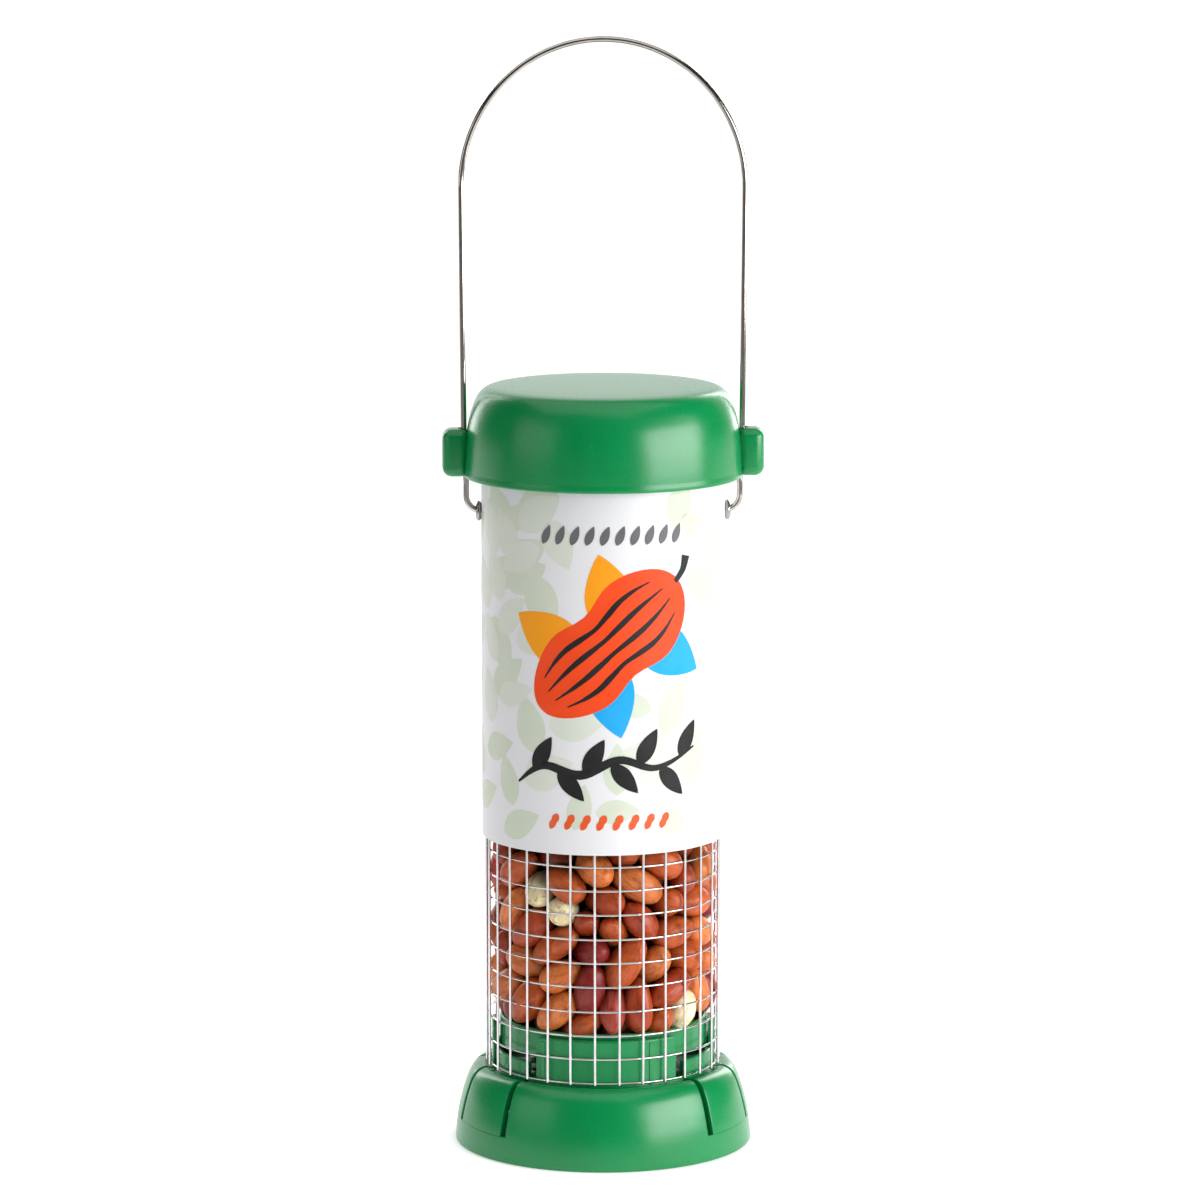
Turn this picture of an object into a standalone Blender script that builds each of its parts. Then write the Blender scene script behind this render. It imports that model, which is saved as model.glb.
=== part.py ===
"""Hanging bird feeder: a welded mesh tube with a moulded lid and base, and a wire handle.

The feeder stands on its base at z = 0, with the tube's axis on Z. The handle's two ends
pivot in eyelets on the X axis. The lid slides up the handle's legs, the base pulls off
downwards, and four sprung tongues in the base press inwards. Front is -Y.
"""

import math

import bmesh
import bpy
from mathutils import Matrix, Vector

MM = 0.001
GAP = 0.3 * MM                    # clearance between pieces that touch

# Welded mesh tube
CELL = 6.35 * MM                  # quarter-inch mesh
WIRE = 0.65 * MM
UPRIGHTS = 30
TUBE_RADIUS = UPRIGHTS * CELL / math.tau
FIRST_RING = 21.4 * MM
OPEN_CELLS = 10                   # rows of cells below the label and just under its edge
HIDDEN_STEP = 8                   # behind the label only every eighth ring is modelled
HIDDEN_ROWS = 2
TUBE_TOP = FIRST_RING + (OPEN_CELLS + HIDDEN_STEP * HIDDEN_ROWS) * CELL

# Label
LABEL_RADIUS = 31.7 * MM
LABEL_INNER = 31.1 * MM
LABEL_Z = (82.0 * MM, 184.0 * MM)

# Collar inside the top of the tube
COLLAR_OUTER = 29.4 * MM
COLLAR_INNER = 28.0 * MM
COLLAR_BOTTOM = 159.0 * MM
COLLAR_TOP = 188.3 * MM
COLLAR_FLANGE = 31.3 * MM

# Handle and its eyelets
HANDLE_WIRE = 1.6 * MM
HANDLE_HALF_WIDTH = 36.6 * MM
HANDLE_TOP = 289.5 * MM           # centreline of the arch
PIVOT_Z = 167.3 * MM
HANDLE_FOOT_X = 35.3 * MM         # each leg steps in to this just above its bend
HANDLE_STEP_Z = (175.0 * MM, 184.0 * MM)
HANDLE_BEND = 3.8 * MM
HANDLE_END_X = 26.0 * MM
EYELET_BORE = 1.45 * MM
EYELET_BARREL = 2.0 * MM
EYELET_FLANGE = 2.65 * MM
EYELET_HOLE = 2.35 * MM

# Lid
LID_BOTTOM = 176.5 * MM
LID_TOP = 200.4 * MM
LID_WALL = 1.5 * MM
EAR_TOP = 189.0 * MM
EAR_REACH = 41.8 * MM
EAR_WIDTH = 9.0 * MM
SLOT_HALF_WIDTH = 1.15 * MM        # of the way through the ear for the wire
LID_INNER = 34.9 * MM              # inside of the skirt at its rim
SEAT_INNER = 29.4 * MM
SEAT_WIDTH = 3.0 * MM

# Base
LEDGE_Z = 20.7 * MM               # the mesh stands on this ledge
FLOOR_BOTTOM = 19.3 * MM
PANEL_TOP = 32.5 * MM
PANEL_INNER = 28.1 * MM
PANEL_HALF_ANGLE = math.radians(38.3)   # of the upright panels at front and back
FLOOR_EDGE = 26.6 * MM
SLIT_BOTTOM = 6.7 * MM
SLIT_HALF_ANGLE = math.radians(1.6)
SHOULDER = (                      # outside of the skirt, from the ledge down to the slits
    (31.2 * MM, LEDGE_Z),
    (32.3 * MM, 20.4 * MM),
    (34.1 * MM, 19.4 * MM),
    (35.6 * MM, 17.0 * MM),
    (36.85 * MM, 13.3 * MM),
    (37.6 * MM, 11.2 * MM),
    (38.1 * MM, 8.4 * MM),
)
SHOULDER_INSIDE = (               # its inside, from the floor down to the slits
    (31.5 * MM, FLOOR_BOTTOM),
    (32.6 * MM, 18.5 * MM),
    (33.8 * MM, 16.6 * MM),
    (34.9 * MM, 13.3 * MM),
    (35.9 * MM, 10.0 * MM),
)
TAB_EDGES = (math.radians(45.0), math.radians(78.0))
TAB_HINGE_RADIUS = 36.9 * MM
TAB_INNER = 27.6 * MM
TAB_FACE = 28.9 * MM
TAB_BARB = 29.6 * MM
TAB_TOP = 25.2 * MM
DRAIN_HOLES = 6
DRAIN_RADIUS = 1.75 * MM
DRAIN_CIRCLE = 19.5 * MM

# Tray and fill
TRAY_RADIUS = 27.2 * MM
TRAY_RIM = 33.8 * MM
TRAY_UNDERSIDE = 26.2 * MM
TRAY_FLOOR = 29.4 * MM
FOOT_OUTER = 12.5 * MM
FILL_RADIUS = 29.3 * MM
FILL_TOP = 94.0 * MM
FILL_STEPS = 36

STEPS = 48                        # facets round the moulded pieces
SLEEVE_STEPS = 60                 # facets round the label and the collar
EYELET_STEPS = 16


# ---------------------------------------------------------------- helpers

def clear_scene():
    for obj in list(bpy.data.objects):
        bpy.data.objects.remove(obj)


def new_collection(name):
    collection = bpy.data.collections.new(name)
    bpy.context.scene.collection.children.link(collection)
    return collection


def material(name, color, roughness, metallic=0.0):
    mat = bpy.data.materials.new(name)
    mat.use_nodes = True
    shader = mat.node_tree.nodes["Principled BSDF"]
    shader.inputs["Base Color"].default_value = (*color, 1.0)
    shader.inputs["Roughness"].default_value = roughness
    shader.inputs["Metallic"].default_value = metallic
    return mat


def add_object(name, mesh, collection, mat=None):
    obj = bpy.data.objects.new(name, mesh)
    collection.objects.link(obj)
    if mat:
        mesh.materials.append(mat)
    return obj


def shade(obj, degrees=35):
    obj.data.shade_smooth()
    obj.data.set_sharp_from_angle(angle=math.radians(degrees))


def profile_mesh(name, points):
    """A closed outline of (radius, height) points in the XZ plane, as edges."""
    mesh = bpy.data.meshes.new(name)
    verts = [(r, 0.0, z) for r, z in points]
    edges = [(i, (i + 1) % len(points)) for i in range(len(points))]
    mesh.from_pydata(verts, edges, [])
    return mesh


def open_profile_mesh(name, points):
    """The same for a solid that reaches the axis: the outline runs from axis to axis."""
    mesh = bpy.data.meshes.new(name)
    verts = [(r, 0.0, z) for r, z in points]
    edges = [(i, i + 1) for i in range(len(points) - 1)]
    mesh.from_pydata(verts, edges, [])
    return mesh


def turned(name, points, collection, mat=None, steps=STEPS, reaches_axis=False):
    """A turned solid. The outline runs down its outer side."""
    build = open_profile_mesh if reaches_axis else profile_mesh
    obj = add_object(name, build(name, points), collection, mat)
    screw = obj.modifiers.new("Turn", "SCREW")
    screw.steps = steps
    screw.render_steps = steps
    screw.use_merge_vertices = True
    screw.merge_threshold = 0.00001
    screw.use_normal_calculate = False
    return obj


def sector(name, points, start, end, steps, collection, mat=None):
    """A closed (radius, height) outline swept round Z from one azimuth to another.

    Azimuth 0 is -Y and grows towards +X.
    """
    bm = bmesh.new()
    verts = [bm.verts.new((r * math.sin(start), -r * math.cos(start), z)) for r, z in points]
    face = bm.faces.new(verts)
    bmesh.ops.spin(
        bm, geom=[face, *face.edges, *face.verts], cent=(0, 0, 0), axis=(0, 0, 1),
        angle=end - start, steps=steps, use_duplicate=False,
    )
    bmesh.ops.recalc_face_normals(bm, faces=bm.faces)
    mesh = bpy.data.meshes.new(name)
    bm.to_mesh(mesh)
    bm.free()
    return add_object(name, mesh, collection, mat)


def box(name, low, high, collection, bevel=0.0):
    """A box between two corners, with its edges bevelled."""
    bm = bmesh.new()
    size = Vector(high) - Vector(low)
    middle = (Vector(high) + Vector(low)) / 2
    matrix = Matrix.Translation(middle) @ Matrix.Diagonal((*size, 1.0))
    bmesh.ops.create_cube(bm, size=1.0, matrix=matrix)
    if bevel:
        bmesh.ops.bevel(
            bm, geom=list(bm.edges), offset=bevel, segments=2, profile=0.5, affect="EDGES",
        )
    mesh = bpy.data.meshes.new(name)
    bm.to_mesh(mesh)
    bm.free()
    return add_object(name, mesh, collection)


def prism(name, outline, half_width, collection):
    """An (x, z) outline given thickness along Y."""
    bm = bmesh.new()
    near = [bm.verts.new((x, -half_width, z)) for x, z in outline]
    far = [bm.verts.new((x, half_width, z)) for x, z in outline]
    bm.faces.new(near)
    bm.faces.new(far[::-1])
    for i in range(len(outline)):
        following = (i + 1) % len(outline)
        bm.faces.new((near[i], far[i], far[following], near[following]))
    bmesh.ops.recalc_face_normals(bm, faces=bm.faces)
    mesh = bpy.data.meshes.new(name)
    bm.to_mesh(mesh)
    bm.free()
    return add_object(name, mesh, collection)


def cylinder(name, radius, length, place, axis, collection, sides=20):
    bm = bmesh.new()
    turn = Vector((0, 0, 1)).rotation_difference(Vector(axis)).to_matrix().to_4x4()
    bmesh.ops.create_cone(
        bm, cap_ends=True, segments=sides, radius1=radius, radius2=radius, depth=length,
        matrix=Matrix.Translation(place) @ turn,
    )
    mesh = bpy.data.meshes.new(name)
    bm.to_mesh(mesh)
    bm.free()
    return add_object(name, mesh, collection)


def boolean(obj, tool, operation):
    """Cut or join with a guide object, which stays hidden in the cutters collection."""
    tool.hide_render = True
    tool.display_type = "WIRE"
    modifier = obj.modifiers.new(tool.name, "BOOLEAN")
    modifier.operation = operation
    modifier.solver = "EXACT"
    modifier.object = tool
    return modifier


def arc(centre, radius, start, end, count):
    """Points on an arc, in (radius, height), with angles in degrees from +X."""
    points = []
    for i in range(count + 1):
        angle = math.radians(start + (end - start) * i / count)
        points.append((centre[0] + radius * math.cos(angle), centre[1] + radius * math.sin(angle)))
    return points


# ---------------------------------------------------------------- pieces

def make_mesh_tube(parts, mat):
    """A flat grid of wire strips bent round a cylinder, its holes removed, then thickened."""
    half_wire = WIRE / 2
    rings = [FIRST_RING + CELL * k for k in range(OPEN_CELLS + 1)]
    rings += [rings[-1] + CELL * HIDDEN_STEP * (k + 1) for k in range(HIDDEN_ROWS)]
    heights = [z + side * half_wire for z in rings for side in (-1, 1)]
    half_angle = half_wire / TUBE_RADIUS
    pitch = math.tau / UPRIGHTS
    angles = [pitch * (i + 0.5) + side * half_angle for i in range(UPRIGHTS) for side in (-1, 1)]

    bm = bmesh.new()
    grid = [
        [bm.verts.new((TUBE_RADIUS * math.sin(a), -TUBE_RADIUS * math.cos(a), z)) for a in angles]
        for z in heights
    ]
    columns = len(angles)
    pivot_row = max(i for i, z in enumerate(rings) if z < PIVOT_Z)
    snipped = {UPRIGHTS // 4, UPRIGHTS - 1 - UPRIGHTS // 4}   # uprights that the eyelets replace
    for row in range(len(heights) - 1):
        for column in range(columns):
            in_hole_row = row % 2 == 1
            in_hole_column = column % 2 == 1
            cut = in_hole_row and row // 2 == pivot_row and column // 2 in snipped
            if (in_hole_row and in_hole_column) or cut:
                continue
            following = (column + 1) % columns
            bm.faces.new((
                grid[row][column], grid[row][following],
                grid[row + 1][following], grid[row + 1][column],
            ))
    mesh = bpy.data.meshes.new("mesh_tube")
    bm.to_mesh(mesh)
    bm.free()
    obj = add_object("mesh_tube", mesh, parts, mat)
    solidify = obj.modifiers.new("Wire thickness", "SOLIDIFY")
    solidify.thickness = WIRE
    solidify.offset = 0.0
    solidify.use_even_offset = True
    return obj


def drill_for_eyelets(obj, cutters):
    for side, label in ((-1, "left"), (1, "right")):
        hole = cylinder(
            f"{obj.name}_{label}_hole", EYELET_HOLE, 8 * MM,
            (side * (COLLAR_OUTER + MM), 0, PIVOT_Z), (1, 0, 0), cutters,
        )
        boolean(obj, hole, "DIFFERENCE")


def make_label(parts, cutters, mat):
    bottom, top = LABEL_Z
    outline = [
        (LABEL_RADIUS, top),
        (LABEL_RADIUS, bottom),
        (LABEL_INNER, bottom),
        (LABEL_INNER, top),
    ]
    obj = turned("label_sleeve", outline, parts, mat, steps=SLEEVE_STEPS)
    drill_for_eyelets(obj, cutters)
    shade(obj)
    return obj


def make_collar(parts, cutters, mat):
    flange_bottom = TUBE_TOP + WIRE / 2 + GAP
    outline = [
        (COLLAR_FLANGE, COLLAR_TOP),
        (COLLAR_FLANGE, flange_bottom),
        (COLLAR_OUTER, flange_bottom),
        (COLLAR_OUTER, COLLAR_BOTTOM),
        (COLLAR_INNER, COLLAR_BOTTOM),
        (COLLAR_INNER, COLLAR_TOP),
    ]
    obj = turned("top_collar", outline, parts, mat, steps=SLEEVE_STEPS)
    drill_for_eyelets(obj, cutters)
    shade(obj)
    return obj


def make_eyelet(side, label, parts, mat):
    """A hollow rivet turned round the X axis, with a rolled outer and a flat inner flange."""
    outer_face = LABEL_RADIUS + GAP
    inner_face = COLLAR_INNER - GAP
    roll = 0.55 * MM
    outline = [
        (EYELET_BARREL, outer_face),
        *arc((EYELET_FLANGE - roll, outer_face + roll), roll, -90, 90, 4),
        (EYELET_BORE + 0.3 * MM, outer_face + 2 * roll),
        (EYELET_BORE, outer_face + 1.5 * roll),
        (EYELET_BORE, inner_face - 0.6 * MM),
        (EYELET_FLANGE, inner_face - 0.6 * MM),
        (EYELET_FLANGE, inner_face),
        (EYELET_BARREL, inner_face),
    ]
    outline.reverse()
    obj = turned(f"eyelet_{label}", outline, parts, mat, steps=EYELET_STEPS)
    obj.rotation_euler = (0, side * math.radians(90), 0)
    obj.location = (0, 0, PIVOT_Z)
    shade(obj)
    return obj


def handle_points():
    """The wire's centreline: in through one eyelet, up, over the arch and down again."""
    arch_z = HANDLE_TOP - HANDLE_HALF_WIDTH
    bend_x = HANDLE_FOOT_X - HANDLE_BEND
    bend_z = PIVOT_Z + HANDLE_BEND
    step_low, step_high = HANDLE_STEP_Z
    half = [(HANDLE_END_X, PIVOT_Z)]
    half += arc((bend_x, bend_z), HANDLE_BEND, -90, 0, 5)
    half += [
        (HANDLE_FOOT_X, step_low),
        (HANDLE_FOOT_X + 0.3 * MM, step_low + 2.5 * MM),
        (HANDLE_HALF_WIDTH - 0.3 * MM, step_high - 2.5 * MM),
        (HANDLE_HALF_WIDTH, step_high),
    ]
    half += arc((0, arch_z), HANDLE_HALF_WIDTH, 0, 90, 14)
    mirrored = [(-x, z) for x, z in reversed(half[:-1])]
    return [(x, 0.0, z) for x, z in half + mirrored]


def make_handle(parts, mat):
    points = handle_points()
    curve = bpy.data.curves.new("bail_handle", "CURVE")
    curve.dimensions = "3D"
    curve.bevel_depth = HANDLE_WIRE / 2
    curve.bevel_resolution = 2
    curve.use_fill_caps = True
    spline = curve.splines.new("POLY")
    spline.points.add(len(points) - 1)
    for point, place in zip(spline.points, points):
        pivot_space = (place[0], place[1], place[2] - PIVOT_Z)
        point.co = (*pivot_space, 1.0)
    curve.materials.append(mat)
    obj = bpy.data.objects.new("bail_handle", curve)
    obj.location = (0, 0, PIVOT_Z)
    parts.objects.link(obj)
    return obj


def lid_outline():
    """Down the outside from the middle of the top, round the rim and up the inside."""
    outer = [
        (0.0, LID_TOP),
        (16 * MM, LID_TOP - 0.1 * MM),
        (27 * MM, LID_TOP - 0.35 * MM),
        (29.2 * MM, 199.8 * MM),
        (31.0 * MM, 199.1 * MM),
        (32.3 * MM, 198.0 * MM),
        (33.2 * MM, 196.6 * MM),
        (34.0 * MM, 194.5 * MM),
        (34.7 * MM, 192.2 * MM),
        (35.3 * MM, 189.2 * MM),
        (35.75 * MM, 185.5 * MM),
        (36.05 * MM, 181.0 * MM),
        (36.15 * MM, 178.2 * MM),
        (36.4 * MM, 177.8 * MM),
        (36.4 * MM, 176.9 * MM),
        (36.1 * MM, LID_BOTTOM),
    ]
    roof = LID_TOP - LID_WALL
    inner = [
        (LID_INNER, LID_BOTTOM),
        (34.5 * MM, 181.0 * MM),
        (34.2 * MM, 185.5 * MM),
        (33.7 * MM, 189.2 * MM),
        (32.6 * MM, 193.4 * MM),
        (31.0 * MM, 196.8 * MM),
        (28.6 * MM, roof - 0.6 * MM),
        (16 * MM, roof - 0.1 * MM),
        (0.0, roof),
    ]
    return outer + inner


def wire_slot(name, side, cutters):
    """The way through an ear: clear of the leg above, and of its step inwards below."""
    outer = HANDLE_HALF_WIDTH + HANDLE_WIRE / 2 + GAP
    inner = HANDLE_HALF_WIDTH - HANDLE_WIRE / 2 - GAP
    foot = HANDLE_FOOT_X - HANDLE_WIRE / 2 - GAP
    low, high = LID_BOTTOM - 2 * MM, EAR_TOP + 2 * MM
    step_low, step_high = HANDLE_STEP_Z
    outline = [
        (outer, low), (outer, high), (inner, high), (inner, step_high + GAP), (foot, step_low),
        (foot, low),
    ]
    return prism(name, [(side * x, z) for x, z in outline], SLOT_HALF_WIDTH, cutters)


def lid_block(name, side, inner, outer, half_width, low, high, cutters, bevel=0.0):
    """A box that is part of the lid, on one side, between two distances from the axis."""
    xs = sorted((side * inner, side * outer))
    return box(name, (xs[0], -half_width, low), (xs[1], half_width, high), cutters, bevel)


def make_lid(parts, cutters, mat):
    obj = turned("lid", lid_outline(), parts, mat, reaches_axis=True)
    half_seat = SEAT_WIDTH / 2
    for side, label in ((-1, "left"), (1, "right")):
        ear = lid_block(
            f"ear_{label}", side, LID_INNER, EAR_REACH, EAR_WIDTH / 2,
            LID_BOTTOM + 0.05 * MM, EAR_TOP, cutters, bevel=1.2 * MM,
        )
        rib = lid_block(
            f"seat_rib_{label}", side, SEAT_INNER, 34.0 * MM, half_seat,
            COLLAR_TOP + GAP, 194.3 * MM, cutters,
        )
        post = lid_block(
            f"seat_post_{label}", side, SEAT_INNER, 31.2 * MM, half_seat,
            194.0 * MM, 198.0 * MM, cutters,
        )
        slot = wire_slot(f"wire_slot_{label}", side, cutters)
        for block in (ear, rib, post):
            boolean(obj, block, "UNION")
        boolean(obj, slot, "DIFFERENCE")
    shade(obj)
    return obj


def base_outline():
    """Outline of the skirt, ledge, collar wall and floor, which reaches the axis."""
    outer = [
        (PANEL_INNER, PANEL_TOP),
        (COLLAR_OUTER, PANEL_TOP),
        (COLLAR_OUTER, LEDGE_Z),
        *SHOULDER,
        (38.4 * MM, 6.4 * MM),
        (38.8 * MM, 3.0 * MM),
        (38.95 * MM, 1.2 * MM),
        (38.7 * MM, 0.3 * MM),
        (38.2 * MM, 0.0),
    ]
    inner = [
        (36.9 * MM, 0.0),
        (36.9 * MM, 3.0 * MM),
        (36.6 * MM, 6.4 * MM),
        *reversed(SHOULDER_INSIDE),
        (0.0, FLOOR_BOTTOM),
    ]
    return [(0.0, LEDGE_Z), (PANEL_INNER, LEDGE_Z)] + outer + inner


def tab_ranges():
    """Name and azimuth range, slit centre to slit centre, of each sprung tongue."""
    start, end = TAB_EDGES
    return {
        "front_right": (start, end),
        "back_right": (math.pi - end, math.pi - start),
        "back_left": (math.pi + start, math.pi + end),
        "front_left": (math.tau - end, math.tau - start),
    }


def trim_panels(obj, cutters):
    """Narrow the front and back panels, which leaves a gap beside each tongue."""
    cut = [
        (FLOOR_EDGE + 0.3 * MM, LEDGE_Z + GAP), (30.2 * MM, LEDGE_Z + GAP),
        (30.2 * MM, 40 * MM), (FLOOR_EDGE + 0.3 * MM, 40 * MM),
    ]
    far = TAB_EDGES[0] - SLIT_HALF_ANGLE / 2
    for middle, place in ((0.0, "front"), (math.pi, "back")):
        for turn, side in ((-1, "left"), (1, "right")):
            start, end = sorted((middle + turn * PANEL_HALF_ANGLE, middle + turn * far))
            tool = sector(f"panel_trim_{place}_{side}", cut, start, end, 2, cutters)
            boolean(obj, tool, "DIFFERENCE")


def make_base(parts, cutters, mat):
    obj = turned("base_skirt", base_outline(), parts, mat, reaches_axis=True)
    trim_panels(obj, cutters)
    cut = [
        (FLOOR_EDGE, SLIT_BOTTOM), (45 * MM, SLIT_BOTTOM),
        (45 * MM, 40 * MM), (FLOOR_EDGE, 40 * MM),
    ]
    for name, (start, end) in tab_ranges().items():
        tool = sector(
            f"window_{name}", cut, start - SLIT_HALF_ANGLE, end + SLIT_HALF_ANGLE, 8, cutters,
        )
        boolean(obj, tool, "DIFFERENCE")
    drill_drains(obj, cutters, FLOOR_BOTTOM)
    shade(obj)
    return obj


def drill_drains(obj, cutters, height):
    for i in range(DRAIN_HOLES):
        angle = math.tau * (i + 0.5) / DRAIN_HOLES
        hole = cylinder(
            f"{obj.name}_drain_{i + 1}", DRAIN_RADIUS, 12 * MM,
            (DRAIN_CIRCLE * math.cos(angle), DRAIN_CIRCLE * math.sin(angle), height + 1 * MM),
            (0, 0, 1), cutters, sides=12,
        )
        boolean(obj, hole, "DIFFERENCE")


def tab_outline():
    """The tongue's wall, from its root up over the shoulder to the barb inside the mesh."""
    root = SLIT_BOTTOM + GAP
    return [
        (38.37 * MM, root),
        *reversed(SHOULDER),
        (TAB_FACE, LEDGE_Z),
        (TAB_FACE, 22.0 * MM),
        (TAB_BARB, 22.1 * MM),
        (TAB_FACE, 24.4 * MM),
        (TAB_FACE, TAB_TOP),
        (TAB_INNER, TAB_TOP),
        (TAB_INNER, FLOOR_BOTTOM),
        *SHOULDER_INSIDE,
        (36.55 * MM, root),
    ]


def make_tab(name, start, end, parts, mat):
    """One tongue, with its origin on the line that it bends about."""
    obj = sector(
        f"release_tab_{name}", tab_outline(),
        start + SLIT_HALF_ANGLE, end - SLIT_HALF_ANGLE, 6, parts, mat,
    )
    middle = (start + end) / 2
    origin = Vector((
        TAB_HINGE_RADIUS * math.sin(middle), -TAB_HINGE_RADIUS * math.cos(middle), SLIT_BOTTOM + GAP,
    ))
    obj.data.transform(Matrix.Translation(-origin))
    obj.location = origin
    shade(obj)
    return obj


def make_tray(parts, cutters, mat):
    """A shallow dish on a short tubular foot."""
    floor = LEDGE_Z + GAP
    outline = [
        (0.0, TRAY_FLOOR + 1.0 * MM),
        (12 * MM, TRAY_FLOOR + 0.6 * MM),
        (24.0 * MM, TRAY_FLOOR - 0.4 * MM),
        (25.4 * MM, TRAY_FLOOR + 0.4 * MM),
        (25.9 * MM, TRAY_RIM - 0.4 * MM),
        (26.3 * MM, TRAY_RIM),
        (26.9 * MM, TRAY_RIM),
        (TRAY_RADIUS, TRAY_RIM - 0.4 * MM),
        (TRAY_RADIUS, TRAY_UNDERSIDE + 0.4 * MM),
        (TRAY_RADIUS - 0.4 * MM, TRAY_UNDERSIDE),
        (FOOT_OUTER, TRAY_UNDERSIDE + 0.6 * MM),
        (FOOT_OUTER, floor),
        (FOOT_OUTER - 1.5 * MM, floor),
        (FOOT_OUTER - 1.5 * MM, TRAY_UNDERSIDE + 1.0 * MM),
        (0.0, TRAY_UNDERSIDE + 1.5 * MM),
    ]
    obj = turned("seed_tray", outline, parts, mat, reaches_axis=True)
    drill_drains(obj, cutters, TRAY_UNDERSIDE)
    shade(obj)
    return obj


def make_peanuts(parts, mat):
    """The heaped fill, as one plain solid from the tray's rim to just above the label's edge."""
    bottom = TRAY_RIM + GAP
    outline = [
        (0.0, FILL_TOP),
        (14 * MM, FILL_TOP - 1.5 * MM),
        (24 * MM, FILL_TOP - 4 * MM),
        (28 * MM, FILL_TOP - 7 * MM),
        (FILL_RADIUS, FILL_TOP - 9 * MM),
        (FILL_RADIUS, bottom + 0.6 * MM),
        (FILL_RADIUS - 0.6 * MM, bottom),
        (0.0, bottom),
    ]
    obj = turned("peanuts", outline, parts, mat, steps=FILL_STEPS, reaches_axis=True)
    shade(obj)
    return obj


def main():
    clear_scene()
    parts = new_collection("hanging_bird_feeder")
    cutters = new_collection("cutters")

    green = material("green_plastic", (0.0, 0.24, 0.065), 0.32)
    steel = material("bright_mesh_wire", (0.62, 0.62, 0.64), 0.28, 1.0)
    polished = material("polished_wire", (0.68, 0.68, 0.70), 0.16, 1.0)
    label = material("printed_label", (0.72, 0.72, 0.80), 0.45)
    collar = material("collar_plastic", (0.03, 0.03, 0.03), 0.5)
    nuts = material("peanut_skin", (0.36, 0.10, 0.035), 0.55)

    make_mesh_tube(parts, steel)
    make_label(parts, cutters, label)
    make_collar(parts, cutters, collar)
    for side, name in ((-1, "left"), (1, "right")):
        make_eyelet(side, name, parts, polished)
    make_handle(parts, polished)
    make_lid(parts, cutters, green)
    make_base(parts, cutters, green)
    for name, (start, end) in tab_ranges().items():
        make_tab(name, start, end, parts, green)
    make_tray(parts, cutters, green)
    make_peanuts(parts, nuts)


main()
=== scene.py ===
"""Looks for the hanging bird feeder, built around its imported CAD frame."""

import math
import random

import bmesh
import bpy
import numpy as np
from mathutils import Matrix, Vector


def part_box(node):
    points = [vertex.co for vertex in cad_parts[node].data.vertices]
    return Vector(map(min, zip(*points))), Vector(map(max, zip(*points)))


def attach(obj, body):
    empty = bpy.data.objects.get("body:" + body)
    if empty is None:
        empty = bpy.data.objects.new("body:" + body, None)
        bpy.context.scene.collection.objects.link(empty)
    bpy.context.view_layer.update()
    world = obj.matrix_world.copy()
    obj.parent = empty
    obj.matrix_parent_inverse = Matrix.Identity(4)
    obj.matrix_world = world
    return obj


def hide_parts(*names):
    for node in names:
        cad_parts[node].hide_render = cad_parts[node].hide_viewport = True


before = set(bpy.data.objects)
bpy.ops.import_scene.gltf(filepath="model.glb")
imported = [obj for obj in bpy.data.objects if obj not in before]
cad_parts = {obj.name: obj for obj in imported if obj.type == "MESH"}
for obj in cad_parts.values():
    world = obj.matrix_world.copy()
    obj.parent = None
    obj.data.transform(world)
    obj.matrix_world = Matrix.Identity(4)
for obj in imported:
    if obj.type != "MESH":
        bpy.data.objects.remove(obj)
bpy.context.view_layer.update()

MM = 0.001
SMOOTH_STEPS = 192                 # facets round a finished moulding
SLEEVE_STEPS = 240                 # facets round the sleeve, and round the print on it

# Places read from the frame
TUBE_LOW, TUBE_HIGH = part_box("mesh_tube")
LABEL_LOW, LABEL_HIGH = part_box("label_sleeve")
LID_LOW, LID_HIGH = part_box("lid")
BASE_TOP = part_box("base_skirt")[1].z
TRAY_LOW, TRAY_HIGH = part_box("seed_tray")
FILL_LOW, FILL_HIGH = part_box("peanuts")
TAB_LOW, TAB_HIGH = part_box("release_tab_front_right")
COLLAR_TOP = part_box("top_collar")[1].z
HANDLE_LOW, HANDLE_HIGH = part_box("bail_handle")
EYELET_LOW, EYELET_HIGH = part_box("eyelet_right")

# Welded mesh
UPRIGHTS = 30
CELL = 6.35 * MM
UPRIGHT_RADIUS = 0.345 * MM
RING_RADIUS = 0.29 * MM
WIRE_CIRCLE = UPRIGHTS * CELL / math.tau
FIRST_RING = TUBE_LOW.z + 0.325 * MM
RINGS = round((TUBE_HIGH.z - TUBE_LOW.z) / CELL) + 1
WELD_OFFSET = 0.29 * MM            # uprights outside the wire circle, rings inside it

LABEL_RADIUS = LABEL_HIGH.x
PIVOT_Z = (EYELET_LOW.z + EYELET_HIGH.z) / 2
HANDLE_RADIUS = (HANDLE_HIGH.y - HANDLE_LOW.y) / 2
SLIT_BOTTOM = TAB_LOW.z - 0.3 * MM


# ---- node helpers

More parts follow.
